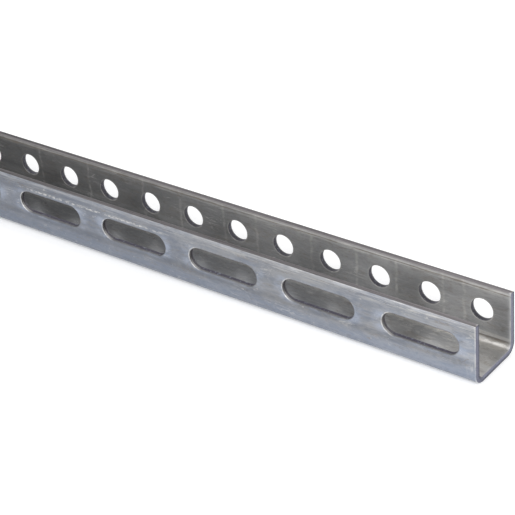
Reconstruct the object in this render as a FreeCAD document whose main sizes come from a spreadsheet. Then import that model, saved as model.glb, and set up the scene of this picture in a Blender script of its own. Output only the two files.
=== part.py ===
"""Perforated U-channel: one length of cold-formed steel stock, in millimetres.

One strip of sheet is punched flat, with a row of round holes along one margin
and a row of long slots along the other, and then bent into a U. The channel
lies on its web with the open side up.

Frame: the origin is under the middle of the web, on its underside. +X runs
along the length, towards the end that the punching is set out from. The
slotted flange is at -Y, the flange with the round holes is at +Y, +Z is up.
"""
import FreeCAD, Part
import Sketcher
import os
from math import pi
from FreeCAD import Vector

# Driving dimensions: alias, value, what it measures
DRIVING = (
    ("channel_length", 1000.0, "length of the stock as sold"),
    ("web_width", 30.0, "outside width across the two flanges"),
    ("flange_height", 29.0, "underside of the web to the tips of the flanges"),
    ("sheet_thickness", 2.5, "thickness of the strip"),
    ("inner_bend_radius", 2.5, "inside radius of the two bends"),
    ("tip_round_radius", 0.45, "rounding of the rolled strip edges at the flange tips"),
    ("row_edge_distance", 12.0, "flange tip down to the centre line of both rows"),
    ("hole_diameter", 10.5, "round holes"),
    ("hole_pitch", 25.0, "centre to centre along the row of round holes"),
    ("first_hole_from_end", 13.75, "set-out end to the centre of the first round hole"),
    ("least_end_metal", 4.0, "least metal left between a punching and the far end"),
    ("slot_length", 36.5, "overall length of a slot, over its round ends"),
    ("slot_width", 10.9, "width of a slot"),
    ("holes_per_slot", 2, "round holes that stand opposite each slot"),
)

MOST_TIP_ROUND = 0.45           # share of the sheet that the rounding of one edge may take
LEAST_CUT = 1.0                 # mm3 that a punching must remove to count


def make_sheet(doc):
    """The table of driving dimensions, one row for each, with its alias."""
    sheet = doc.addObject("Spreadsheet::Sheet", "Sizes")
    for row, (alias, value, meaning) in enumerate(DRIVING, start=1):
        sheet.set(f"A{row}", meaning)
        sheet.set(f"B{row}", str(value))
        sheet.setAlias(f"B{row}", alias)
    doc.recompute()
    return sheet


def origin_feature(body, role):
    """The body's own origin plane or axis with this role."""
    for feature in body.Origin.OriginFeatures:
        if feature.Role == role:
            return feature
    raise RuntimeError(f"{body.Label} has no origin feature {role}")


def sketch_on(body, name, role):
    """A new empty sketch on one of the body's own origin planes."""
    sketch = body.newObject("Sketcher::SketchObject", name)
    sketch.AttachmentSupport = [(origin_feature(body, role), "")]
    sketch.MapMode = "FlatFace"
    return sketch


def dimension(sketch, constraint, name, expression):
    """Add a dimension, name it and bind it to the table of sizes."""
    index = sketch.addConstraint(constraint)
    sketch.renameConstraint(index, name)
    sketch.setExpression(f"Constraints.{name}", expression)


def draw_section(sketch, sheet):
    """The U: two concentric walls of the bent strip, closed at the flange tips.

    Starts from the values in the table, and is then held by constraints:
    the sides stay upright, the bends tangent, and the two halves alike.
    """
    half = sheet.web_width / 2
    tip = sheet.flange_height
    wall = sheet.sheet_thickness
    inner_radius = sheet.inner_bend_radius
    outer_radius = inner_radius + wall
    bend_x = half - outer_radius

    def line(x0, y0, x1, y1):
        return sketch.addGeometry(Part.LineSegment(Vector(x0, y0, 0), Vector(x1, y1, 0)), False)

    def quarter(x, radius, start, end):
        circle = Part.Circle(Vector(x, outer_radius, 0), Vector(0, 0, 1), radius)
        return sketch.addGeometry(Part.ArcOfCircle(circle, start, end), False)

    left, down, right = pi, 1.5 * pi, 2 * pi
    outer_left = line(-half, tip, -half, outer_radius)
    outer_bend_left = quarter(-bend_x, outer_radius, left, down)
    outer_web = line(-bend_x, 0, bend_x, 0)
    outer_bend_right = quarter(bend_x, outer_radius, down, right)
    outer_right = line(half, outer_radius, half, tip)
    tip_right = line(half, tip, half - wall, tip)
    inner_right = line(half - wall, tip, half - wall, outer_radius)
    inner_bend_right = quarter(bend_x, inner_radius, down, right)
    inner_web = line(bend_x, wall, -bend_x, wall)
    inner_bend_left = quarter(-bend_x, inner_radius, left, down)
    inner_left = line(wall - half, outer_radius, wall - half, tip)
    tip_left = line(wall - half, tip, -half, tip)

    tangent = (
        (outer_left, 2, outer_bend_left, 1),
        (outer_bend_left, 2, outer_web, 1),
        (outer_web, 2, outer_bend_right, 1),
        (outer_bend_right, 2, outer_right, 1),
        (inner_right, 2, inner_bend_right, 2),
        (inner_bend_right, 1, inner_web, 1),
        (inner_web, 2, inner_bend_left, 2),
        (inner_bend_left, 1, inner_left, 1),
    )
    for first, first_end, second, second_end in tangent:
        sketch.addConstraint(Sketcher.Constraint("Tangent", first, first_end, second, second_end))
    corners = (
        (outer_right, 2, tip_right, 1),
        (tip_right, 2, inner_right, 1),
        (inner_left, 2, tip_left, 1),
        (tip_left, 2, outer_left, 1),
    )
    for first, first_end, second, second_end in corners:
        sketch.addConstraint(Sketcher.Constraint("Coincident", first, first_end, second, second_end))
    for upright in (outer_left, outer_right, inner_left, inner_right):
        sketch.addConstraint(Sketcher.Constraint("Vertical", upright))
    for level in (outer_web, tip_left, tip_right):
        sketch.addConstraint(Sketcher.Constraint("Horizontal", level))
    for inner, outer in ((inner_bend_left, outer_bend_left), (inner_bend_right, outer_bend_right)):
        sketch.addConstraint(Sketcher.Constraint("Coincident", inner, 3, outer, 3))
    sketch.addConstraint(Sketcher.Constraint("Equal", inner_bend_left, inner_bend_right))
    sketch.addConstraint(Sketcher.Constraint("PointOnObject", outer_web, 1, -1))
    sketch.addConstraint(Sketcher.Constraint("Symmetric", outer_left, 1, outer_right, 2, -2))

    dimension(sketch, Sketcher.Constraint("DistanceX", outer_left, 1, outer_right, 2, 2 * half),
              "width", "Sizes.web_width")
    dimension(sketch, Sketcher.Constraint("DistanceY", -1, 1, outer_right, 2, tip),
              "height", "Sizes.flange_height")
    dimension(sketch, Sketcher.Constraint("DistanceX", tip_right, 2, tip_right, 1, wall),
              "wall", "Sizes.sheet_thickness")
    dimension(sketch, Sketcher.Constraint("Radius", inner_bend_right, inner_radius),
              "inner_bend", "Sizes.inner_bend_radius")


def draw_hole(sketch, sheet):
    """The first round hole of the row, nearest the set-out end."""
    centre = Vector(sheet.channel_length / 2 - sheet.first_hole_from_end,
                    sheet.flange_height - sheet.row_edge_distance, 0)
    circle = Part.Circle(centre, Vector(0, 0, 1), sheet.hole_diameter / 2)
    hole = sketch.addGeometry(circle, False)
    dimension(sketch, Sketcher.Constraint("Diameter", hole, sheet.hole_diameter),
              "diameter", "Sizes.hole_diameter")
    dimension(sketch, Sketcher.Constraint("DistanceX", -1, 1, hole, 3, centre.x),
              "along", "Sizes.channel_length / 2 - Sizes.first_hole_from_end")
    dimension(sketch, Sketcher.Constraint("DistanceY", -1, 1, hole, 3, centre.y),
              "up", "Sizes.flange_height - Sizes.row_edge_distance")


def draw_slot(sketch, sheet):
    """The first slot: two half circles and two straights, centred on its group of holes."""
    radius = sheet.slot_width / 2
    reach = sheet.slot_length / 2 - radius
    group_middle = sheet.first_hole_from_end + (sheet.holes_per_slot - 1) * sheet.hole_pitch / 2
    middle = Vector(sheet.channel_length / 2 - group_middle,
                    sheet.flange_height - sheet.row_edge_distance, 0)
    axis = Vector(0, 0, 1)
    down, up = -pi / 2, pi / 2
    far_centre = middle - Vector(reach, 0, 0)
    near_centre = middle + Vector(reach, 0, 0)
    rise = Vector(0, radius, 0)
    far_round = sketch.addGeometry(
        Part.ArcOfCircle(Part.Circle(far_centre, axis, radius), up, down + 2 * pi), False)
    near_round = sketch.addGeometry(
        Part.ArcOfCircle(Part.Circle(near_centre, axis, radius), down, up), False)
    bottom = sketch.addGeometry(Part.LineSegment(far_centre - rise, near_centre - rise), False)
    top = sketch.addGeometry(Part.LineSegment(near_centre + rise, far_centre + rise), False)
    for first, first_end, second, second_end in (
            (far_round, 2, bottom, 1), (bottom, 2, near_round, 1),
            (near_round, 2, top, 1), (top, 2, far_round, 1)):
        sketch.addConstraint(Sketcher.Constraint("Tangent", first, first_end, second, second_end))
    sketch.addConstraint(Sketcher.Constraint("Horizontal", bottom))
    sketch.addConstraint(Sketcher.Constraint("Equal", far_round, near_round))

    dimension(sketch, Sketcher.Constraint("Radius", near_round, radius),
              "end_radius", "Sizes.slot_width / 2")
    dimension(sketch, Sketcher.Constraint("DistanceX", far_round, 3, near_round, 3, 2 * reach),
              "straight", "Sizes.slot_length - Sizes.slot_width")
    dimension(sketch, Sketcher.Constraint("DistanceX", -1, 1, near_round, 3, near_centre.x),
              "along",
              "Sizes.channel_length / 2 - Sizes.first_hole_from_end"
              " - (Sizes.holes_per_slot - 1) * Sizes.hole_pitch / 2"
              " + (Sizes.slot_length - Sizes.slot_width) / 2")
    dimension(sketch, Sketcher.Constraint("DistanceY", -1, 1, near_round, 3, middle.y),
              "up", "Sizes.flange_height - Sizes.row_edge_distance")


def punch(body, sketch, name, towards_slots):
    """Cut the sketch through one flange only, from the middle plane outwards."""
    before = body.Shape.Volume
    cut = body.newObject("PartDesign::Pocket", name)
    cut.Profile = sketch
    cut.Type = "ThroughAll"
    cut.Reversed = towards_slots
    body.Document.recompute()
    if before - cut.Shape.Volume < LEAST_CUT:
        raise RuntimeError(f"{name} removes nothing")
    return cut


def repeat_along(body, feature, name, spacing, count):
    """Repeat a punching along the channel, away from the set-out end."""
    row = body.newObject("PartDesign::LinearPattern", name)
    row.Originals = [feature]
    row.Direction = (origin_feature(body, "X_Axis"), [""])
    row.Reversed = True
    row.Mode = "Spacing"
    row.setExpression("Offset", spacing)
    row.setExpression("Occurrences", count)
    body.Tip = row
    body.Document.recompute()
    return row


def tip_edges(shape, height):
    """Names of the four long edges at the tips of the flanges."""
    names = []
    for number, edge in enumerate(shape.Edges, start=1):
        box = edge.BoundBox
        if box.ZMin > height - 0.001 and box.XLength > box.YLength:
            names.append(f"Edge{number}")
    return names


def make_channel(doc, sheet):
    """The one piece: the bent strip, its rounded tips and its two punched rows."""
    body = doc.addObject("PartDesign::Body", "Channel")
    body.Label = "u_channel"

    section = sketch_on(body, "Section", "YZ_Plane")
    draw_section(section, sheet)
    bent_strip = body.newObject("PartDesign::Pad", "BentStrip")
    bent_strip.Profile = section
    bent_strip.SideType = "Symmetric"
    bent_strip.setExpression("Length", "Sizes.channel_length")
    doc.recompute()

    rounded = body.newObject("PartDesign::Fillet", "RoundedTips")
    rounded.Base = (bent_strip, tip_edges(bent_strip.Shape, sheet.flange_height))
    rounded.setExpression("Radius", f"min(Sizes.tip_round_radius; Sizes.sheet_thickness * {MOST_TIP_ROUND})")
    doc.recompute()

    hole_sketch = sketch_on(body, "HoleOutline", "XZ_Plane")
    draw_hole(hole_sketch, sheet)
    hole = punch(body, hole_sketch, "FirstHole", towards_slots=False)
    length_left = "(Sizes.channel_length - Sizes.least_end_metal - Sizes.first_hole_from_end"
    repeat_along(
        body, hole, "HoleRow", "Sizes.hole_pitch",
        f"floor({length_left} - Sizes.hole_diameter / 2) / Sizes.hole_pitch) + 1")

    slot_sketch = sketch_on(body, "SlotOutline", "XZ_Plane")
    draw_slot(slot_sketch, sheet)
    slot = punch(body, slot_sketch, "FirstSlot", towards_slots=True)
    slot_pitch = "(Sizes.holes_per_slot * Sizes.hole_pitch)"
    group_middle = "(Sizes.holes_per_slot - 1) * Sizes.hole_pitch / 2"
    repeat_along(
        body, slot, "SlotRow", slot_pitch,
        f"floor({length_left} - {group_middle} - Sizes.slot_length / 2) / {slot_pitch}) + 1")
    return body


def check(doc, bodies):
    """Stop before anything is written if an object failed or a solid is not sound."""
    for item in doc.Objects:
        if "Invalid" in item.State or "Error" in item.State:
            raise RuntimeError(f"{item.Label} failed: {item.State}")
    for body in bodies:
        shape = body.Shape
        if shape.isNull() or not shape.isValid() or len(shape.Solids) != 1:
            raise RuntimeError(f"{body.Label} is not one sound solid")


def main():
    doc = FreeCAD.newDocument("PerforatedChannel")
    sheet = make_sheet(doc)
    bodies = [make_channel(doc, sheet)]
    doc.recompute()
    check(doc, bodies)
    os.makedirs("parts", exist_ok=True)
    for body in bodies:
        body.Shape.exportStep(f"parts/{body.Label}.step")
        box = body.Shape.BoundBox
        print(f"{body.Label}: {box.XLength:.2f} x {box.YLength:.2f} x {box.ZLength:.2f} mm, "
              f"{body.Shape.Volume:.1f} mm3, {len(body.Shape.Faces)} faces")


main()
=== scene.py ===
"""Looks of the perforated U-channel: one length of cold-formed steel, lying on its web."""
import math

import bmesh
import bpy
from bpy.props import FloatProperty, FloatVectorProperty, PointerProperty
from mathutils import Matrix, Vector


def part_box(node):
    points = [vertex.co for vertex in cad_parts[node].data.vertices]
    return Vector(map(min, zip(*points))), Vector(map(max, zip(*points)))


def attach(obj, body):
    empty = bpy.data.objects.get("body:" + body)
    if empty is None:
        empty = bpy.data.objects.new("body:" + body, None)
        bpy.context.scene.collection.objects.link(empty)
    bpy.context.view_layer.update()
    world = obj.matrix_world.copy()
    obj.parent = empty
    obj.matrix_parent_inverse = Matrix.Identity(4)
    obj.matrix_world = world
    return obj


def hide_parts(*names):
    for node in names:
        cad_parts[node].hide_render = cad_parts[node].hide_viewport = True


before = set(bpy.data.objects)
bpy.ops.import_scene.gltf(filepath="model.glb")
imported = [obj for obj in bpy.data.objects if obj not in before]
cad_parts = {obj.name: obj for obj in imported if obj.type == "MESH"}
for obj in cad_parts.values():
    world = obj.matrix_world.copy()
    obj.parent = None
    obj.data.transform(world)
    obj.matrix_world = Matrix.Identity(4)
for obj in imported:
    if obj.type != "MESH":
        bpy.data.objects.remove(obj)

bl_info = {
    "name": "Perforated Channel",
    "version": (1, 0, 0),
    "blender": (4, 5, 0),
    "location": "View3D > Sidebar > Channel",
    "description": "Builds a punched and bent steel U-channel, its finish and a plain studio",
    "category": "Add Mesh",
}

NODE = "u_channel"
PIECE = "channel"
LOW, HIGH = (Vector(corner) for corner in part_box(NODE))
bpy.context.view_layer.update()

MM = 0.001
ARC_EDGES = 48              # edges round a full punched circle
PANEL_ROWS = 12             # rows of faces up a flange, and columns per hole
BEND_STEPS = 8              # steps round each bend
BREAK_STEPS = 3             # faces across a rounded edge
BURR_STEPS = 2              # faces across the edge where the punch came out
SHARP_TURN = math.radians(50)       # an edge that turns more than this gets rounded
SMOOTH_TURN = math.radians(35)      # faces that turn less than this are shaded as one
TOUCH = 0.01 * MM           # places closer than this are the same


class ChannelSizes(bpy.types.PropertyGroup):
    """Sizes of the stock and of its punching."""

    length: FloatProperty(name="Length", description="Length of the stock",
                          default=HIGH.x - LOW.x, unit="LENGTH")
    width: FloatProperty(name="Width", description="Outside width over both flanges",
                         default=HIGH.y - LOW.y, unit="LENGTH")
    height: FloatProperty(name="Height", description="Underside of the web to the flange tips",
                          default=HIGH.z - LOW.z, unit="LENGTH")
    sheet: FloatProperty(name="Sheet", description="Thickness of the strip",
                         default=2.5 * MM, unit="LENGTH")
    bend: FloatProperty(name="Inner bend", description="Inside radius of the bends",
                        default=2.5 * MM, unit="LENGTH")
    row_drop: FloatProperty(name="Row drop", description="Flange tip to the centre line of the rows",
                            default=12.0 * MM, unit="LENGTH")
    hole: FloatProperty(name="Hole", description="Diameter of the round holes",
                        default=10.5 * MM, unit="LENGTH")
    pitch: FloatProperty(name="Pitch", description="Centre to centre of the round holes",
                         default=25.0 * MM, unit="LENGTH")
    first_hole: FloatProperty(name="First hole", description="Set-out end to the first round hole",
                              default=13.75 * MM, unit="LENGTH")
    slot_length: FloatProperty(name="Slot length", description="Length of a slot over its round ends",
                               default=36.5 * MM, unit="LENGTH")
    slot_width: FloatProperty(name="Slot width", description="Width of a slot",
                              default=10.9 * MM, unit="LENGTH")
    tip_round: FloatProperty(name="Tip rounding", description="Rounding of the strip's edges",
                             default=0.45 * MM, unit="LENGTH")
    die_roll: FloatProperty(name="Die roll", description="Rounding where the punch went in",
                            default=0.22 * MM, unit="LENGTH")
    die_burr: FloatProperty(name="Die side", description="Edge break where the punch came out",
                            default=0.14 * MM, unit="LENGTH")
    cut_break: FloatProperty(name="Cut break", description="Edge break round the sawn ends",
                             default=0.36 * MM, unit="LENGTH")


class SteelFinish(bpy.types.PropertyGroup):
    """Colours and sheen of the rolled steel."""

    outside: FloatVectorProperty(name="Outside", description="Rolled face outside the bends",
                                 subtype="COLOR", size=3, default=(0.338, 0.344, 0.362))
    outside_dull: FloatVectorProperty(name="Outside, dull", description="Duller bluish patches outside",
                                      subtype="COLOR", size=3, default=(0.222, 0.243, 0.287))
    # also used as painted reflection, bluer low down outside
    outside_low: FloatVectorProperty(name="Outside, low", description="Bluer even tone down at the bends",
                                     subtype="COLOR", size=3, default=(0.318, 0.362, 0.455))
    inside: FloatVectorProperty(name="Inside", description="Rolled face inside the bends",
                                subtype="COLOR", size=3, default=(0.43, 0.429, 0.43))
    inside_dull: FloatVectorProperty(name="Inside, dull", description="Duller patches inside",
                                     subtype="COLOR", size=3, default=(0.33, 0.334, 0.34))
    stain: FloatVectorProperty(name="Stain", description="Brown bloom of dried oil and first rust",
                               subtype="COLOR", size=3, default=(0.20, 0.165, 0.13))
    # also the colour of the painted highlights
    scuff_and_highlight: FloatVectorProperty(name="Scuffs", description="Bright scratches and rubbed edges",
                               subtype="COLOR", size=3, default=(0.75, 0.73, 0.69))
    slit: FloatVectorProperty(name="Slit edge", description="Slit edges of the strip at the flange tips",
                              subtype="COLOR", size=3, default=(0.202, 0.189, 0.195))
    sawn: FloatVectorProperty(name="Sawn end", description="Cut ends of the stock",
                              subtype="COLOR", size=3, default=(0.145, 0.15, 0.195))
    burnished: FloatVectorProperty(name="Burnished wall", description="Punched wall next to the punch",
                                   subtype="COLOR", size=3, default=(0.195, 0.19, 0.19))
    torn: FloatVectorProperty(name="Torn wall", description="Punched wall where the slug broke away",
                              subtype="COLOR", size=3, default=(0.043, 0.04, 0.058))
    roughness: FloatProperty(name="Roughness", description="Base roughness of the rolled faces",
                             default=0.40, min=0.0, max=1.0, subtype="FACTOR")


class StudioSettings(bpy.types.PropertyGroup):
    """Floor, light and camera."""

    floor: FloatVectorProperty(name="Floor", description="Colour of the floor",
                               subtype="COLOR", size=3, default=(0.9, 0.9, 0.9))
    lift: FloatProperty(name="Floor lift", description="Light added where the floor is seen, to whiten it",
                        default=0.22, min=0.0)
    sky: FloatProperty(name="Room light", description="Strength of the even white room",
                       default=0.9, min=0.0)
    key: FloatProperty(name="Key light", description="Power of the large soft lamp in watts",
                       default=4.0, min=0.0)
    front: FloatProperty(name="Front light", description="Power of the low soft lamp in front, in watts",
                         default=2.0, min=0.0)
    near: FloatProperty(name="Near light", description="Power of the soft lamp by the set-out end in watts",
                        default=1.5, min=0.0)
    lens: FloatProperty(name="Lens", description="Focal length on a 36 mm wide frame, in mm",
                        default=127.87, min=1.0)


def run(operator, **settings):
    """Call a Blender operator and stop if it did not finish."""
    result = operator(**settings)
    if "FINISHED" not in result:
        raise RuntimeError(f"{operator.idname_py()} did not finish")


def deselect():
    """Leave nothing selected, so that an operator acts only on what is picked next."""
    for item in bpy.context.selected_objects:
        item.select_set(False)


def pick_by(kind):
    """In edit mode, pick points (VERT) or edges (EDGE) from here on."""
    if tuple(bpy.context.tool_settings.mesh_select_mode) != (kind == "VERT", kind == "EDGE", False):
        run(bpy.ops.mesh.select_mode, type=kind)


def pick(piece, kind, wanted):
    """In edit mode, select exactly the points or edges that pass the test."""
    pick_by(kind)
    run(bpy.ops.mesh.select_all, action="DESELECT")
    mesh = bmesh.from_edit_mesh(piece.data)
    parts = mesh.verts if kind == "VERT" else mesh.edges
    for part in [part for part in parts if wanted(part)]:
        part.select_set(True)
    mesh.select_flush_mode()
    bmesh.update_edit_mesh(piece.data)


def both_ends(edge, test):
    """Do both ends of the edge pass the test?"""
    return all(test(point.co) for point in edge.verts)


def is_open(edge):
    """Does the edge have no face on either side?"""
    return not edge.link_faces


def is_sharp(edge):
    """Does the surface turn a corner at this edge?"""
    return len(edge.link_faces) == 2 and edge.calc_face_angle() > SHARP_TURN


class Layout:
    """Places worked out from the sizes, in metres."""

    def __init__(self, sizes):
        self.sizes = sizes
        self.half = sizes.width / 2
        self.outer_bend = sizes.bend + sizes.sheet
        self.flat_y = self.half - self.outer_bend
        self.row = sizes.height - sizes.row_drop
        self.end = sizes.length / 2
        self.hole_x = self.end - sizes.first_hole
        self.slot_pitch = 2 * sizes.pitch
        self.slot_x = self.hole_x - sizes.pitch / 2
        self.slot_reach = (sizes.slot_length - sizes.slot_width) / 2
        self.groups = round(sizes.length / self.slot_pitch)
        self.group_start = self.hole_x + sizes.pitch / 2


def panel(piece, plan, x, y, length, columns, punching):
    """One upright rectangle of a flange with one punching in it, as flat clean faces.

    A grid gives the outline with evenly spaced points. Its inside is taken out,
    the outline of the punching is drawn, and the two loops are bridged.
    """
    low, high = plan.outer_bend, plan.sizes.height
    middle = (low + high) / 2
    run(bpy.ops.mesh.primitive_grid_add, x_subdivisions=columns, y_subdivisions=PANEL_ROWS,
        size=1.0, location=(x, y, middle), rotation=(math.pi / 2, 0, 0))
    run(bpy.ops.transform.resize, value=(length, 1.0, high - low), center_override=(x, y, middle))
    reach_x, reach_z = length / 2 - TOUCH, (high - low) / 2 - TOUCH
    pick_by("VERT")
    mesh = bmesh.from_edit_mesh(piece.data)
    for point in mesh.verts:
        if point.select:
            inside = abs(point.co.x - x) < reach_x and abs(point.co.z - middle) < reach_z
            point.select_set(inside)
    mesh.select_flush_mode()
    bmesh.update_edit_mesh(piece.data)
    run(bpy.ops.mesh.delete, type="VERT")
    punching(piece, plan, x, y)
    pick(piece, "EDGE", is_open)
    run(bpy.ops.mesh.bridge_edge_loops)


def hole_outline(piece, plan, x, y):
    """The round hole: one circle."""
    run(bpy.ops.mesh.primitive_circle_add, vertices=ARC_EDGES, radius=plan.sizes.hole / 2,
        fill_type="NOTHING", location=(x, y, plan.row), rotation=(math.pi / 2, 0, 0))


def slot_outline(piece, plan, x, y):
    """The slot: a circle pulled apart into two half rounds, with its straights divided."""
    half_step = math.pi / ARC_EDGES
    radius = plan.sizes.slot_width / 2
    middle = Vector((x, y, plan.row))
    run(bpy.ops.mesh.primitive_circle_add, vertices=ARC_EDGES, radius=radius,
        fill_type="NOTHING", location=middle, rotation=(math.pi / 2, half_step, 0))
    for side in (-1, 1):
        pick(piece, "VERT", lambda point: (point.co.x - x) * side > 0
             and (point.co - middle).length < radius + TOUCH)
        run(bpy.ops.transform.translate, value=(side * plan.slot_reach, 0, 0))
    straight = 2 * plan.slot_reach - TOUCH
    pick(piece, "EDGE", lambda edge: is_open(edge) and edge.calc_length() > straight)
    run(bpy.ops.mesh.subdivide, number_cuts=PANEL_ROWS)


def module(piece, plan):
    """The outer skin of one repeat: a slotted panel, the web with its bends, two holed panels."""
    def on_bend(place):
        return abs(place.y + plan.half) < TOUCH and abs(place.z - plan.outer_bend) < TOUCH

    pitch = plan.sizes.pitch
    panel(piece, plan, plan.slot_x, -plan.half, plan.slot_pitch, 2 * PANEL_ROWS, slot_outline)
    pick(piece, "EDGE", lambda edge: both_ends(edge, on_bend))
    run(bpy.ops.mesh.spin, steps=BEND_STEPS, angle=-math.pi / 2,
        center=(plan.slot_x, -plan.flat_y, plan.outer_bend), axis=(1, 0, 0))
    run(bpy.ops.mesh.extrude_edges_move,
        TRANSFORM_OT_translate={"value": (0, 2 * plan.flat_y, 0)})
    run(bpy.ops.mesh.spin, steps=BEND_STEPS, angle=-math.pi / 2,
        center=(plan.slot_x, plan.flat_y, plan.outer_bend), axis=(1, 0, 0))
    for number in range(2):
        panel(piece, plan, plan.hole_x - number * pitch, plan.half, pitch, PANEL_ROWS, hole_outline)
    run(bpy.ops.mesh.select_all, action="SELECT")
    run(bpy.ops.mesh.remove_doubles, threshold=TOUCH)


def whole_length(piece, plan):
    """Repeat the module along the stock, then bring both ends to their true length."""
    run(bpy.ops.object.modifier_add, type="ARRAY")
    rows = piece.modifiers[-1]
    rows.count = plan.groups
    rows.use_relative_offset = False
    rows.use_constant_offset = True
    rows.constant_offset_displace = (-plan.slot_pitch, 0, 0)
    rows.use_merge_vertices = True
    rows.merge_threshold = TOUCH
    run(bpy.ops.object.modifier_apply, modifier=rows.name)
    run(bpy.ops.object.mode_set, mode="EDIT")
    near_edge = plan.group_start - TOUCH
    pick(piece, "EDGE", lambda edge: both_ends(edge, lambda place: place.x > near_edge))
    run(bpy.ops.mesh.extrude_edges_move,
        TRANSFORM_OT_translate={"value": (plan.end - plan.group_start, 0, 0)})
    run(bpy.ops.mesh.select_all, action="SELECT")
    run(bpy.ops.mesh.bisect, plane_co=(-plan.end, 0, 0), plane_no=(1, 0, 0), clear_inner=True)
    run(bpy.ops.mesh.select_all, action="SELECT")
    run(bpy.ops.mesh.normals_make_consistent, inside=False)
    turn_outwards(piece)
    run(bpy.ops.object.mode_set, mode="OBJECT")


def turn_outwards(piece):
    """Flip the skin if the underside of its web faces up."""
    mesh = bmesh.from_edit_mesh(piece.data)
    mesh.normal_update()
    lowest = min(mesh.faces, key=lambda face: face.calc_center_median().z)
    if lowest.normal.z > 0:
        run(bpy.ops.mesh.flip_normals)


def thicken(piece, plan):
    """Give the skin the thickness of the sheet, inwards, so that the punchings get their walls."""
    run(bpy.ops.object.modifier_add, type="SOLIDIFY")
    wall = piece.modifiers[-1]
    wall.thickness = plan.sizes.sheet
    wall.offset = -1.0
    wall.use_even_offset = True
    run(bpy.ops.object.modifier_apply, modifier=wall.name)


def round_edges(piece, plan):
    """Round the sharp edges as making them leaves them: tips, punched rims, sawn ends."""
    sizes = plan.sizes
    tip = sizes.height - TOUCH
    below_tip = tip - sizes.tip_round
    end = plan.end - TOUCH
    outer_skin = plan.half - TOUCH
    inner_skin = plan.half - sizes.sheet + TOUCH

    def at_tip(place):
        return place.z > tip

    def at_end(place):
        return abs(place.x) > end

    def punched(place):
        return plan.outer_bend < place.z < below_tip and abs(place.x) < end

    def punched_outside(place):
        return punched(place) and abs(place.y) > outer_skin

    def punched_inside(place):
        return punched(place) and abs(place.y) < inner_skin

    def bevel(wanted, size, steps):
        pick(piece, "EDGE", lambda edge: is_sharp(edge) and wanted(edge))
        run(bpy.ops.mesh.bevel, offset=size, segments=steps, affect="EDGES")

    run(bpy.ops.object.mode_set, mode="EDIT")
    bevel(lambda edge: both_ends(edge, at_tip) and not both_ends(edge, at_end),
          sizes.tip_round, BREAK_STEPS)
    bevel(lambda edge: both_ends(edge, punched_outside), sizes.die_roll, BREAK_STEPS)
    bevel(lambda edge: both_ends(edge, punched_inside), sizes.die_burr, BURR_STEPS)
    bevel(lambda edge: both_ends(edge, at_end), sizes.cut_break, BREAK_STEPS)
    run(bpy.ops.object.mode_set, mode="OBJECT")


def smooth(piece):
    """Shade the rounds smooth and keep the flats flat."""
    run(bpy.ops.object.shade_smooth_by_angle, angle=SMOOTH_TURN)
    run(bpy.ops.object.modifier_add, type="WEIGHTED_NORMAL")
    weighted = piece.modifiers[-1]
    weighted.keep_sharp = True
    weighted.weight = 100       # the largest face at a point decides
    run(bpy.ops.object.modifier_apply, modifier=weighted.name)


class CHANNEL_OT_channel(bpy.types.Operator):
    """Build the channel: one punched strip, bent, thickened and edge-broken"""
    bl_idname = "channel.channel"
    bl_label = "Channel"

    def execute(self, context):
        plan = Layout(context.scene.channel_sizes)
        deselect()
        run(bpy.ops.mesh.primitive_grid_add, x_subdivisions=1, y_subdivisions=1, size=plan.sizes.pitch)
        piece = context.object
        piece.name = PIECE
        run(bpy.ops.object.mode_set, mode="EDIT")
        run(bpy.ops.mesh.select_all, action="SELECT")
        run(bpy.ops.mesh.delete, type="VERT")
        module(piece, plan)
        run(bpy.ops.object.mode_set, mode="OBJECT")
        whole_length(piece, plan)
        thicken(piece, plan)
        round_edges(piece, plan)
        smooth(piece)
        piece.data.materials.clear()
        piece.data.materials.append(bpy.data.materials["rolled_steel"])
        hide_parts(NODE)
        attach(piece, "root")
        return {"FINISHED"}


class Value:
    """A number or colour that changes over the surface: wraps a socket, and sums on it add Math nodes."""

    def __init__(self, shader, socket):
        self.shader = shader
        self.socket = socket

    def maths(self, operation, *others):
        """A Math node with this value in its first socket."""
        return self.shader.add("Math", (self, *others), operation=operation)

    def __add__(self, other):
        return self.maths("ADD", other)

    __radd__ = __add__

    def __mul__(self, other):
        return self.maths("MULTIPLY", other)

    __rmul__ = __mul__

    def __sub__(self, other):
        return self.maths("SUBTRACT", other)

    def __rsub__(self, other):
        return self.shader.add("Math", (other, self), operation="SUBTRACT")

    def __pow__(self, other):
        return self.maths("POWER", other)

    def __gt__(self, other):
        return self.maths("GREATER_THAN", other)

    def __abs__(self):
        return self.maths("ABSOLUTE")

    def above(self, other):
        """The larger of the two."""
        return self.maths("MAXIMUM", other)

    def below(self, other):
        """The smaller of the two."""
        return self.maths("MINIMUM", other)

    def root(self):
        """The square root."""
        return self.maths("SQRT")

    def decay(self, rate):
        """1 at zero, dying away exponentially at this rate."""
        return (self * -rate).maths("EXPONENT")

    def repeat(self, length):
        """Position within a pattern of this length, from minus half to plus half of it."""
        return self.maths("WRAP", length / 2, -length / 2)

    def ramp(self, start, stop):
        """Runs from 0 at start to 1 at stop, eased, and stays there."""
        return self.shader.add("MapRange", (self, start, stop, 0.0, 1.0), interpolation_type="SMOOTHSTEP")

    def fade(self, start, stop):
        """Runs from 1 at start to 0 at stop, eased, and stays there."""
        return 1.0 - self.ramp(start, stop)

    def near(self, centre, core, edge):
        """1 up to core away from the centre, easing to 0 at edge away from it."""
        return abs(self - centre).fade(core, edge)


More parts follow.
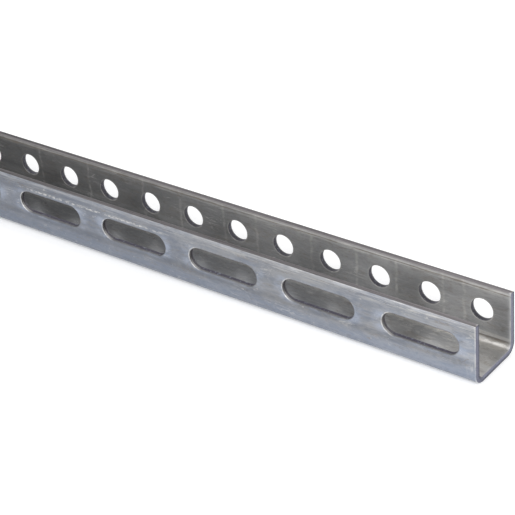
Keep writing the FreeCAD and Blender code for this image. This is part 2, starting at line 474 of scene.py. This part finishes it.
class Shader:
    """The node tree of a material or a world, built by adding nodes one call at a time."""

    def __init__(self, owner):
        owner.use_nodes = True
        self.owner = owner
        self.tree = owner.node_tree
        self.tree.nodes.clear()

    def add(self, kind, inputs=(), output=0, **settings):
        """Add a node, apply its settings, fill its sockets by place or name.

        Returns the output of that place or name, or a list of them for a tuple of names.
        """
        node = self.tree.nodes.new(f"ShaderNode{kind}")
        for name, value in settings.items():
            setattr(node, name, value)
        named = inputs.items() if isinstance(inputs, dict) else enumerate(inputs)
        for key, value in named:
            self.fill(node.inputs[key], value)
        if isinstance(output, tuple):
            return [Value(self, node.outputs[name]) for name in output]
        return Value(self, node.outputs[output])

    def fill(self, socket, value):
        """Link a value or set a constant."""
        if isinstance(value, Value):
            self.tree.links.new(value.socket, socket)
        elif socket.type == "RGBA" and len(value) == 3:
            socket.default_value = (*value, 1.0)
        else:
            socket.default_value = value

    def mix(self, factor, first, second):
        """Blend two colours. A Mix node has them in sockets 6 and 7 and gives its colour as output 2."""
        return self.add("Mix", {0: factor, 6: first, 7: second}, output=2, data_type="RGBA")

    def shade(self, colour, factor):
        """Make a colour lighter or darker by a changing factor."""
        return self.add("VectorMath", {"Vector": colour, "Scale": factor}, operation="SCALE")

    def finish(self, surface, kind="Material"):
        """Send a shader to the output, and return the material or world."""
        end = self.tree.nodes.new(f"ShaderNodeOutput{kind}")
        self.fill(end.inputs["Surface"], surface)
        return self.owner


def scaled(colour, factor):
    """A constant colour made lighter or darker."""
    return tuple(factor * part for part in colour)


class Survey:
    """Where a point of the surface lies on the channel, in millimetres, as values of a shader."""

    def __init__(self, steel, plan):
        sizes = plan.sizes
        self.steel = steel
        self.place = steel.shade(steel.add("TexCoord", output="Object"), 1 / MM)
        self.x, self.y, self.z = steel.add("SeparateXYZ", (self.place,), output=("X", "Y", "Z"))
        self.sheet = sizes.sheet / MM
        self.height = sizes.height / MM
        self.half = plan.half / MM
        self.row = plan.row / MM
        self.from_end = plan.end / MM - abs(self.x)
        self.on_round_side = self.y > 0.0
        self.on_slot_side = 1.0 - self.on_round_side
        self.depth = self.depth_in_sheet(plan)
        self.inside = self.depth.ramp(self.sheet * 0.6, self.sheet * 0.9)
        self.outside = 1.0 - self.inside
        self.on_web = self.inside * self.z.fade(self.sheet + 0.1, self.sheet + 0.9)
        self.near_skin = self.depth.below(self.sheet - self.depth).above(0.0)
        self.on_tip = self.z.ramp(self.height - 0.36, self.height - 0.16) * self.near_skin.ramp(0.1, 0.25)
        self.on_end = self.from_end.fade(0.14, 0.34)
        self.from_punching, self.slot_back = self.punchings(plan)

    def noise(self, size, detail=2.0, roughness=0.5, warp=0.0):
        """Noise from 0 to 1, with the size of its patches along each axis in millimetres."""
        spread = self.steel.add("VectorMath", (self.place, size), operation="DIVIDE")
        return self.steel.add("TexNoise", {"Vector": spread, "Scale": 1.0, "Detail": detail,
                                           "Roughness": roughness, "Distortion": warp})

    def depth_in_sheet(self, plan):
        """0 on the outside, rising to the sheet's thickness inside, in the flats and round the bends."""
        bend = plan.outer_bend / MM
        across = abs(self.y) - plan.flat_y / MM
        down = bend - self.z
        round_bend = (across.above(0.0) ** 2.0 + down.above(0.0) ** 2.0).root()
        return bend - round_bend - across.above(down).below(0.0)

    def punchings(self, plan):
        """Distance outside the nearest punching's edge, and 1 at the slots' ends towards -X."""
        up = (self.z - self.row) ** 2.0
        along_slot = (self.x - plan.slot_x / MM).repeat(plan.slot_pitch / MM)
        reach = plan.slot_reach / MM
        past = (abs(along_slot) - reach).above(0.0)
        from_slot = (past ** 2.0 + up).root() - plan.sizes.slot_width / MM / 2
        along_hole = (self.x - plan.hole_x / MM).repeat(plan.sizes.pitch / MM)
        from_hole = (along_hole ** 2.0 + up).root() - plan.sizes.hole / MM / 2
        slot_back = (along_slot * -1.0).ramp(reach - 1.0, reach + 2.5) * self.on_slot_side
        return self.on_round_side * from_hole + self.on_slot_side * from_slot, slot_back


def make_steel(finish, plan):
    """Rolled steel that has been slit, punched, bent, sawn and handled, with painted light, shade and
    highlights on it.
    """
    steel = Shader(bpy.data.materials.new("rolled_steel"))
    at = Survey(steel, plan)
    colour, rough, height = rolled_faces(steel, at, finish)
    colour = feed_marks(steel, at, finish, colour)
    colour, rough = scuffs(steel, at, finish, colour, rough)
    colour, rough = slit_edges(steel, at, finish, colour, rough)
    colour, rough = punched_walls(steel, at, finish, colour, rough)
    colour, rough = sawn_ends(steel, at, finish, colour, rough)
    bump = steel.add("Bump", {"Strength": 0.35, "Distance": 0.08 * MM, "Height": height})
    bare = 1.0 - 0.5 * at.inside + 0.3 * at.on_web      # dried oil dulls the inside, less so the web
    surface = steel.add("BsdfPrincipled", {
        "Base Color": colour, "Metallic": bare, "Roughness": rough, "Normal": bump})
    return steel.finish(surface)


# Heights above the underside of the web, and other places on the steel, in millimetres
BROWN_LINE = 4.7            # inside, at the top of each bend
BEND_PAINTED_LIGHT = 5.2            # inside, painted light round this height
PALE_LINE = 6.2           # inside, a pale line above the brown line
DARK_BAND = 10.4            # outside, darker under the punchings
DRAG_LINE = 24.1            # outside, above the punchings
LIP_DARK_LINE = 27.45       # inside, under the painted highlight line
LIP_HIGHLIGHT = 28.1            # outside, a painted highlight beside the slit edge
LIP_HIGHLIGHT_LINE = 28.15      # inside, a painted highlight beside the slit edge
LIP_PAINTED_LIGHT = 28.2            # inside, painted light round this height
BEND_HIGHLIGHT_BAND = 10.2        # on the web, from its middle: a painted highlight by each bend
SHADED_PATCH = 50.0           # on the round-hole flange, from either end: a patch of painted shade


def rolled_faces(steel, at, finish):
    """Colour, roughness and height of the faces as rolled, with clouds, patches and lengthwise smears, and
    painted light and shade.
    """
    clouds = at.noise((24.0, 9.0, 9.0), detail=4.0, roughness=0.6, warp=1.0).ramp(0.38, 0.64)
    patches = at.noise((6.0, 3.4, 3.4), detail=5.0, roughness=0.7, warp=1.6).ramp(0.36, 0.66)
    smears = at.noise((15.0, 1.7, 1.7), detail=5.0, roughness=0.7, warp=1.0).ramp(0.33, 0.68)
    grain = at.noise((0.9, 0.6, 0.6), detail=3.0, roughness=0.65)
    bright = (0.42 * clouds + 0.3 * patches + 0.28 * smears).ramp(0.0, 0.95)

    outside = outer_colour(steel, at, finish, bright)
    inside = inner_colour(steel, at, finish, bright)
    outer, inner = outer_level(at), inner_level(at)
    # the outer and inner levels are painted light and shade
    level = (outer + at.inside * (inner - outer)) * (0.92 + 0.16 * grain)
    colour = steel.shade(steel.mix(at.inside, outside, inside), level)

    uneven = (0.08 * (0.5 - smears) + 0.14 * (0.5 - patches)) * (1.0 - 0.7 * at.on_web)
    rough = finish.roughness + uneven + 0.1 * at.inside - 0.2 * at.on_web
    height = (0.15 * smears + 0.35 * grain + 0.8 * patches) * (1.0 - 0.75 * at.on_web)
    return colour, rough, height


def outer_colour(steel, at, finish, bright):
    """Outside: dull and bright patches, warmer up the flange, bluer low down as a painted reflection, and
    bluer away from the ends.
    """
    colour = steel.mix(bright, finish.outside_dull, finish.outside)
    warmth = at.noise((26.0, 6.0, 6.0), detail=4.0, roughness=0.6, warp=0.8).ramp(0.45, 0.68)
    colour = steel.mix(0.45 * warmth * at.z.ramp(5.0, 14.0), colour, finish.inside_dull)
    # painted reflection: bluer low down outside
    colour = steel.mix(0.5 * at.z.fade(5.0, 9.5), colour, finish.outside_low)
    away = at.from_end.ramp(90.0, 220.0)
    colour = steel.mix(0.38 * away, colour, scaled(finish.outside_low, 0.85))
    return lip_streaks(steel, at, finish, colour, 0.3 + 0.35 * at.from_end.decay(0.03))


def inner_colour(steel, at, finish, bright):
    """Inside: dull and bright patches, brown bloom, the bends' lines, and painted light on the web by the
    open ends.
    """
    colour = steel.mix(bright, finish.inside_dull, finish.inside)
    colour = lip_streaks(steel, at, finish, colour, 0.35)
    bloom = at.noise((14.0, 5.0, 5.0), detail=5.0, roughness=0.65, warp=1.5).ramp(0.52, 0.72)
    colour = steel.mix(bloom * (0.5 - 0.15 * at.z.ramp(3.0, 8.0)), colour, finish.stain)
    colour = bend_lines(steel, at, finish, colour)
    away = at.from_end.ramp(20.0, 120.0)
    colour = steel.mix(0.2 * at.on_web * away, colour, finish.outside_low)
    # painted light: the web lighter by the open ends
    lighter_by_end = at.on_web * at.from_end.fade(6.0, 28.0)
    return steel.mix(0.5 * lighter_by_end, colour, scaled(finish.scuff_and_highlight, 0.62))


def outer_level(at):
    """How light the outside is, as painted light and shade: lighter towards the ends, darker in a band
    under the punchings, lighter low and darker high just by the ends, and darker high up far from them.
    """
    # painted light: lighter towards the ends
    level = (0.65 + 0.31 * at.from_end.decay(0.0075)) * (1.0 - 0.17 * at.z.near(DARK_BAND, 0.5, 2.4))
    upper = at.z.ramp(21.0, 24.5)
    by_end = at.from_end.fade(3.5, 9.0)
    # painted light and shade just by the ends: lighter low down, darker high up
    level = level * (1.0 + by_end * (0.22 * at.z.ramp(6.5, 9.0) - 0.34 * upper))
    # painted shade high up, far from the ends
    return level * (1.0 - 0.13 * upper * at.from_end.ramp(180.0, 230.0))


def inner_level(at):
    """How light the inside is, as painted light and shade: darker away from the ends, lighter at the lips
    and over the bends, darker low in the flanges and in patches near the ends, and uneven on the web.
    """
    # painted shade: darker away from the ends, as the light falls off along the channel, and a little
    # darker right at the ends
    shade_away_from_ends = at.from_end.ramp(20.0, 290.0) * (1.0 - 0.45 * at.from_end.ramp(310.0, 450.0))
    level = (0.92 - 0.52 * shade_away_from_ends) * (0.88 + 0.12 * at.from_end.ramp(3.0, 35.0))
    # painted light at the lips and over the bends
    level = level * (1.0 + 0.22 * at.z.near(LIP_PAINTED_LIGHT, 0.3, 2.4))
    level = level * (1.0 + 0.28 * at.z.near(BEND_PAINTED_LIGHT, 1.5, 4.5))

    # painted shade low in the flanges away from the ends, and painted light lower down further off
    over_bend = at.z.ramp(6.0, 9.0)
    level = level * (1.0 - 0.22 * over_bend * at.z.fade(14.0, 22.0) * at.from_end.ramp(30.0, 110.0))
    level = level * (1.0 + 0.26 * over_bend * at.z.fade(11.0, 15.0) * at.from_end.ramp(110.0, 150.0))
    # painted shade on the round-hole flange: a patch at the end and one further in
    round_flat = at.on_round_side * at.z.ramp(4.5, 7.0) * at.z.fade(20.0, 27.0)
    shade_patch = at.from_end.fade(6.0, 14.0).above(0.85 * at.from_end.near(SHADED_PATCH, 3.0, 12.0))
    level = level * (1.0 - round_flat * (0.04 + 0.2 * shade_patch))

    # painted light and shade on the web: lighter by the open ends, darker a little further in, lighter far
    # off
    light = at.from_end.fade(20.0, 44.0) * (0.1 + 0.22 * at.from_end.ramp(10.0, 18.0))
    dark = at.from_end.ramp(28.0, 50.0) * at.from_end.fade(100.0, 135.0)
    far = 0.12 * shade_away_from_ends + 0.16 * at.from_end.ramp(200.0, 270.0)
    return level * (1.0 + at.on_web * (0.04 + light - 0.16 * dark + far))


def bend_lines(steel, at, finish, colour):
    """Lines over each bend: a dark brown line and a pale line above it, light flecks low down, brown stain
    and painted shade over the lower bends, and a painted highlight along each bend's foot.
    """
    uneven = at.noise((12.0, 2.0, 2.0), detail=4.0, roughness=0.6, warp=0.5)
    brown = at.z.near(BROWN_LINE - 0.8 * (uneven - 0.5), 0.3, 0.9)
    lightened = at.z.near(PALE_LINE - 1.2 * (uneven - 0.5), 0.3, 1.1)
    colour = steel.mix(0.65 * brown, colour, scaled(finish.stain, 0.6))
    colour = steel.mix(0.42 * lightened * uneven.ramp(0.3, 0.55), colour, finish.scuff_and_highlight)

    low = at.z.fade(4.0, 5.0)
    from_middle = abs(at.y)
    flecks = at.noise((3.5, 1.2, 1.2), detail=4.0, roughness=0.65, warp=0.5)
    colour = steel.mix(0.3 * low * flecks.ramp(0.5, 0.64), colour, finish.scuff_and_highlight)
    # brown stain over the lower bends, also painted shade that dims their highlight
    bend_stain_and_shade = low * from_middle.ramp(at.half - 6.0, at.half - 4.5)
    colour = steel.mix(bend_stain_and_shade * (0.1 + 0.4 * flecks.fade(0.4, 0.55)), colour, finish.stain)
    # painted highlight along the foot of each bend
    bend_highlight = low * from_middle.near(BEND_HIGHLIGHT_BAND - 1.5 * (uneven - 0.5), 1.0, 2.6)
    return steel.mix(bend_highlight * (0.2 + 0.35 * flecks.ramp(0.35, 0.6)), colour, finish.scuff_and_highlight)


def lip_streaks(steel, at, finish, colour, strength):
    """Light and brown streaks along the flanges' upper edges, where the strip was guided."""
    lip = at.z.ramp(at.height - 5.5, at.height - 1.8)
    streaky = at.noise((17.0, 0.75, 0.75), detail=5.0, roughness=0.7, warp=0.6)
    colour = steel.mix(lip * streaky.ramp(0.49, 0.6) * strength, colour, finish.scuff_and_highlight)
    return steel.mix(1.3 * lip * streaky.fade(0.34, 0.44) * strength, colour, finish.stain)


FEED_MARKS = (22.0, 32.0, 55.0, 75.0, 98.5, 128.0, 146.0, 171.0, 192.5, 226.0, 256.0)   # mm from the end
FEED_MARK_ROUND = 275.0     # mm of stock after which the press leaves the same marks again
DRAG_MIDDLE = 200.0         # mm from the end to the middle of the first drag line
DRAG_ROUND = 310.0          # mm of stock after which it comes again


def feed_marks(steel, at, finish, colour):
    """Faint light lines up the inner face of the round-hole flange, left by the press at each feed."""
    wander = at.noise((12.0, 12.0, 5.0), detail=3.0, roughness=0.6) - 0.5
    along = at.from_end.repeat(FEED_MARK_ROUND) + 3.5 * wander
    marks = sum(along.near(math.remainder(place, FEED_MARK_ROUND), 0.1, 1.1) for place in FEED_MARKS)
    worn = at.noise((4.0, 4.0, 2.5), detail=4.0, roughness=0.65).ramp(0.32, 0.66)
    strength = marks.below(1.0) * worn * at.inside * at.on_round_side * at.z.ramp(5.0, 8.0)
    faint = 0.17 + 0.22 * at.from_end.decay(0.012)
    return steel.mix(strength * faint, colour, finish.scuff_and_highlight)


def scuffs(steel, at, finish, colour, rough):
    """Bright rubbed places: wandering scratches, speckled drag lines and halos round the punchings."""
    zone = at.noise((14.0, 8.0, 8.0)).ramp(0.5, 0.7)
    wander = at.noise((20.0, 2.8, 2.8), detail=4.0, roughness=0.6, warp=1.0)
    colour = steel.mix(0.36 * zone * wander.near(0.5, 0.0, 0.022), colour, finish.scuff_and_highlight)
    colour = steel.mix(0.5 * (1.0 - zone) * wander.near(0.43, 0.0, 0.018), colour, finish.stain)
    end_rub = at.from_end.fade(1.5, 7.0) * at.z.fade(8.0, 15.0) * at.outside
    end_rub = end_rub * at.noise((2.5, 2.5, 6.0), detail=4.0, roughness=0.65).ramp(0.48, 0.7)
    colour = steel.mix(0.3 * end_rub, colour, finish.scuff_and_highlight)

    drag = at.z.near(DRAG_LINE + 0.35 * (wander - 0.5), 0.1, 0.9)
    drag = drag * at.from_end.repeat(DRAG_ROUND).near(math.remainder(DRAG_MIDDLE, DRAG_ROUND), 28.0, 52.0)
    speckle = at.noise((1.7, 1.2, 0.8), detail=3.0, roughness=0.7).ramp(0.44, 0.6)
    colour = steel.mix(0.62 * drag * speckle * at.outside, colour, finish.scuff_and_highlight)
    smudge = at.noise((3.6, 2.6, 2.6), detail=3.0, roughness=0.6).ramp(0.66, 0.76)
    colour = steel.mix(0.4 * smudge * at.outside, colour, finish.scuff_and_highlight)

    halo = at.from_punching.fade(0.6, 6.5) * at.z.near(at.row, 3.5, 8.0) * at.outside
    halo = halo * at.noise((7.0, 4.0, 4.0), detail=3.0, roughness=0.6).ramp(0.36, 0.6)
    colour = steel.mix(0.5 * halo, colour, scaled(finish.outside_low, 1.15))
    return colour, rough - 0.08 * halo


def slit_edges(steel, at, finish, colour, rough):
    """The slit edges, dark with fine lines and nicks, lighter towards the ends as painted light, with
    painted highlights and a dark line along the lips beside them.
    """
    lines = at.noise((90.0, 0.42, 0.42), detail=3.0, roughness=0.7).ramp(0.3, 0.7)
    nicks = at.noise((1.6, 0.5, 0.5), detail=2.0, roughness=0.6).ramp(0.66, 0.74)
    # painted light: the edges and the lines beside them lighter towards the ends
    lit_near_end = at.from_end.decay(0.006)
    level = (0.48 + 0.65 * lit_near_end) * (0.5 + 0.95 * lines) * (1.0 - 0.6 * nicks)
    colour = steel.mix(at.on_tip, colour, steel.shade(finish.slit, level))
    corner = ((at.height - at.z) ** 2.0 + at.near_skin ** 2.0).root().fade(0.25, 0.7)
    colour = steel.mix(0.8 * corner * at.inside, colour, finish.slit)

    lightened = at.noise((9.0, 3.0, 3.0), detail=4.0, roughness=0.65).ramp(0.42, 0.66)
    # painted highlight on the outside beside the slit edge, broken by noise
    light = at.z.near(LIP_HIGHLIGHT, 0.4, 1.1) * at.outside * (1.0 - at.on_tip)
    light = light * (0.12 + 0.2 * lightened) * (0.5 + 0.7 * lit_near_end)
    colour = steel.mix(light, colour, scaled(finish.outside, 2.0))
    wander = 0.9 * (at.noise((28.0, 3.0, 3.0), detail=3.0, roughness=0.6) - 0.5)
    # painted highlight inside, below the slit edge, over a dark line
    light_line = at.z.near(LIP_HIGHLIGHT_LINE - wander, 0.1, 0.5) * at.inside
    dark_line = at.z.near(LIP_DARK_LINE - wander, 0.05, 0.4) * at.inside
    colour = steel.mix(light_line * (0.2 + 0.3 * lightened) * (0.7 + 0.3 * lit_near_end), colour, finish.scuff_and_highlight)
    colour = steel.mix(dark_line * (0.75 - 0.5 * lightened), colour, finish.stain)
    return colour, rough + 0.12 * at.on_tip


def punched_walls(steel, at, finish, colour, rough):
    """The punchings' walls, burnished and then torn, with painted light on them, a light rim on both faces
    that is a painted highlight, strongest at the slots' back ends and low round the holes, and painted
    shade on the slots' other rims.
    """
    slot_rest = at.on_slot_side * (1.0 - at.slot_back)
    ragged = at.noise((1.2, 1.2, 1.2), detail=3.0, roughness=0.7)
    early = 0.7 * at.on_round_side + 0.4 * slot_rest
    torn = (at.depth + (1.6 - 0.8 * at.on_slot_side) * (ragged - 0.5) + early).ramp(0.9, 1.4)
    greyer = 0.42 * at.on_round_side + 0.2 * slot_rest
    torn_colour = steel.mix(greyer, finish.torn, scaled(finish.burnished, 0.45))
    wall_colour = steel.mix(torn, finish.burnished, torn_colour)
    flecks = ragged.ramp(0.56, 0.66) * torn
    wall_colour = steel.mix(0.5 * flecks, wall_colour, finish.outside_dull)
    # painted light on the walls: the slots' back ends lighter and warmer, and the slots' and round holes'
    # walls lighter
    wall_colour = steel.mix(0.4 * at.slot_back, wall_colour, scaled(finish.burnished, 0.9))
    painted_wall_light = 0.45 + 0.4 * torn + at.slot_back * (0.4 - 0.95 * torn)
    level = 1.0 + 0.15 * at.on_round_side + painted_wall_light * at.on_slot_side
    wall_colour = steel.shade(wall_colour, level)

    lightened = at.noise((3.0, 3.0, 3.0), detail=2.0, roughness=0.6).ramp(0.35, 0.65)
    # painted highlight on the rims, strongest at the slots' back ends and low round the holes
    low_rim = (at.row - at.z).ramp(0.0, 4.0) * at.on_round_side
    rim = at.from_punching.fade(0.25, 0.7) * (1.0 - 0.7 * slot_rest) * (1.0 + 0.5 * at.slot_back)
    rim = rim * (0.1 + 0.35 * lightened) * (1.0 - 0.5 * at.inside + 0.45 * low_rim)
    colour = steel.mix(rim, colour, finish.scuff_and_highlight)
    wall = at.depth.ramp(0.1, 0.25) * at.depth.fade(at.sheet - 0.1, at.sheet - 0.02)
    wall = wall * at.from_punching.fade(0.05, 0.2)
    colour = steel.mix(wall, colour, wall_colour)
    # painted shade on the slots' rims, except at their back ends
    painted_rim_shade = at.from_punching.fade(0.2, 0.6) * at.depth.fade(0.4, 0.9)
    colour = steel.shade(colour, 1.0 - 0.38 * painted_rim_shade * slot_rest)
    return colour, rough + 0.15 * wall * torn


def sawn_ends(steel, at, finish, colour, rough):
    """Cut faces with the saw's fine lines and painted light and shade across them, a light burr round them,
    and a lighter strip inside them.
    """
    teeth = at.noise((1.0, 3.5, 0.22), detail=3.0, roughness=0.6).ramp(0.3, 0.7)
    on_slotted = at.y.fade(at.sheet - at.half, 6.0 - at.half)
    on_rest = 1.0 - on_slotted
    # painted light and shade across the cut face: darker towards the inside on the slotted flange,
    # elsewhere darker towards the outside and lighter towards the inside
    dark = on_slotted * at.depth.ramp(at.sheet * 0.45, at.sheet * 0.75)
    dark = dark + on_rest * at.depth.fade(at.sheet * 0.25, at.sheet * 0.55)
    light = on_rest * at.depth.ramp(at.sheet * 0.4, at.sheet * 0.95)
    cut = steel.shade(finish.sawn, 0.95 + 0.36 * teeth - 0.5 * dark + 0.3 * light)
    colour = steel.mix(at.on_end, colour, cut)
    burr = at.from_end.fade(0.5, 1.2) * (1.0 - at.on_end)
    burr = burr * at.noise((3.0, 2.5, 2.5)).ramp(0.25, 0.6)
    colour = steel.mix(burr * (0.34 + 0.16 * at.inside), colour, finish.scuff_and_highlight)
    # a lighter strip on the inside just by the cut
    lighter_by_end = at.from_end.fade(0.3, 2.8) ** 2.0 * at.inside * (1.0 - at.on_end)
    colour = steel.mix(0.5 * lighter_by_end, colour, scaled(finish.outside, 1.6))
    return colour, rough + 0.1 * at.on_end


class CHANNEL_OT_steel(bpy.types.Operator):
    """Make the finish of the channel: rolled faces, slit edges, punched walls and sawn ends"""
    bl_idname = "channel.steel"
    bl_label = "Steel finish"

    def execute(self, context):
        make_steel(context.scene.steel_finish, Layout(context.scene.channel_sizes))
        return {"FINISHED"}


FLOOR_SIZE = 12.0
FLOOR_GAP = 0.02 * MM       # the floor lies this far under the web
WHITE = (1.0, 1.0, 1.0)


def seen_rays(shader):
    """1 for the rays that show a surface, straight, mirrored or through glass, and 0 for the rest."""
    straight, mirrored, through = shader.add("LightPath", output=(
        "Is Camera Ray", "Is Glossy Ray", "Is Transmission Ray"))
    return straight.above(mirrored).above(through)


def make_floor(settings):
    """A plain pale floor that keeps the object's shadow and reads as white to the camera."""
    deselect()
    run(bpy.ops.mesh.primitive_plane_add, size=FLOOR_SIZE, location=(0, 0, -FLOOR_GAP))
    floor = bpy.context.object
    floor.name = "floor"
    paint = Shader(bpy.data.materials.new("floor_paint"))
    diffuse = paint.add("BsdfDiffuse", {"Color": settings.floor})
    glow = paint.add("Emission", {"Color": WHITE, "Strength": settings.lift})
    both = paint.add("AddShader", (diffuse, glow))
    surface = paint.add("MixShader", (seen_rays(paint), diffuse, both))
    floor.data.materials.append(paint.finish(surface))


def make_room(context, settings):
    """An even white room: white where it is seen, and a plain level where it lights."""
    room = Shader(bpy.data.worlds.new("room"))
    light = room.add("Background", {"Color": WHITE, "Strength": settings.sky})
    seen = room.add("Background", {"Color": WHITE, "Strength": 1.0})
    surface = room.add("MixShader", (seen_rays(room), light, seen))
    context.scene.world = room.finish(surface, "World")


def soft_lamp(name, place, target, width, depth, power):
    """A rectangular soft box that shines at a place."""
    deselect()
    run(bpy.ops.object.light_add, type="AREA", location=place)
    lamp = bpy.context.object
    lamp.name = name
    lamp.data.shape = "RECTANGLE"
    lamp.data.size = width
    lamp.data.size_y = depth
    lamp.data.energy = power
    lamp.rotation_euler = (Vector(target) - lamp.location).to_track_quat("-Z", "Y").to_euler()


def make_lights(settings):
    """A large soft box up and to the front left, a low one in front, a small one by the set-out end."""
    soft_lamp("key_light", place=(-0.35, -0.9, 1.15), target=(0.3, 0, 0),
              width=1.0, depth=0.6, power=settings.key)
    soft_lamp("front_light", place=(0.25, -1.0, 0.1), target=(0.3, 0, 0.015),
              width=0.7, depth=0.12, power=settings.front)
    soft_lamp("near_light", place=(0.85, -0.35, 0.5), target=(0.48, 0, 0),
              width=0.4, depth=0.3, power=settings.near)


CAMERA_PLACE = Vector((0.80681, -0.52386, 0.43383))
CAMERA_AZIMUTH = math.radians(39.076)       # 0 looks along +Y, and 90 along -X
CAMERA_ELEVATION = math.radians(31.756)     # looking down
CAMERA_ROLL = math.radians(4.921)           # the camera's top leans to its right
SENSOR_WIDTH = 36.0                         # mm
VIEW_DEPTH = 50.0                           # metres that the camera sees


def make_camera(context, settings):
    """The photograph's view: a long lens, looking down at the set-out end."""
    look = Vector((-math.sin(CAMERA_AZIMUTH) * math.cos(CAMERA_ELEVATION),
                   math.cos(CAMERA_AZIMUTH) * math.cos(CAMERA_ELEVATION),
                   -math.sin(CAMERA_ELEVATION)))
    level_right = look.cross(Vector((0, 0, 1))).normalized()
    level_up = level_right.cross(look)
    up = level_up * math.cos(CAMERA_ROLL) + level_right * math.sin(CAMERA_ROLL)
    right = look.cross(up)
    run(bpy.ops.object.camera_add)
    camera = bpy.context.object
    camera.name = "camera"
    camera.matrix_world = Matrix.Translation(CAMERA_PLACE) @ Matrix(
        (right, up, -look)).transposed().to_4x4()
    camera.data.sensor_fit = "HORIZONTAL"
    camera.data.sensor_width = SENSOR_WIDTH
    camera.data.lens = settings.lens
    camera.data.clip_end = VIEW_DEPTH
    context.scene.camera = camera


class CHANNEL_OT_studio(bpy.types.Operator):
    """Lay the floor, hang the soft lights and set up the camera"""
    bl_idname = "channel.studio"
    bl_label = "Studio"

    def execute(self, context):
        settings = context.scene.studio_settings
        make_floor(settings)
        make_room(context, settings)
        make_lights(settings)
        make_camera(context, settings)
        context.scene.view_settings.view_transform = "Standard"
        return {"FINISHED"}


class CHANNEL_PT_sidebar(bpy.types.Panel):
    """The add-on's panel in the sidebar"""
    bl_idname = "CHANNEL_PT_sidebar"
    bl_label = "Perforated Channel"
    bl_space_type = "VIEW_3D"
    bl_region_type = "UI"
    bl_category = "Channel"

    def draw(self, context):
        layout = self.layout
        for operator, group in ((CHANNEL_OT_steel, "steel_finish"),
                                (CHANNEL_OT_channel, "channel_sizes"),
                                (CHANNEL_OT_studio, "studio_settings")):
            layout.operator(operator.bl_idname)
            settings = getattr(context.scene, group)
            for name in settings.__annotations__:
                layout.prop(settings, name)


CLASSES = (ChannelSizes, SteelFinish, StudioSettings, CHANNEL_OT_steel, CHANNEL_OT_channel,
           CHANNEL_OT_studio, CHANNEL_PT_sidebar)


def register():
    for item in CLASSES:
        bpy.utils.register_class(item)
    bpy.types.Scene.channel_sizes = PointerProperty(type=ChannelSizes)
    bpy.types.Scene.steel_finish = PointerProperty(type=SteelFinish)
    bpy.types.Scene.studio_settings = PointerProperty(type=StudioSettings)


def unregister():
    del bpy.types.Scene.studio_settings
    del bpy.types.Scene.steel_finish
    del bpy.types.Scene.channel_sizes
    for item in reversed(CLASSES):
        bpy.utils.unregister_class(item)


def main():
    register()
    for operator in (bpy.ops.channel.steel, bpy.ops.channel.channel, bpy.ops.channel.studio):
        run(operator)


if __name__ == "__main__":
    main()
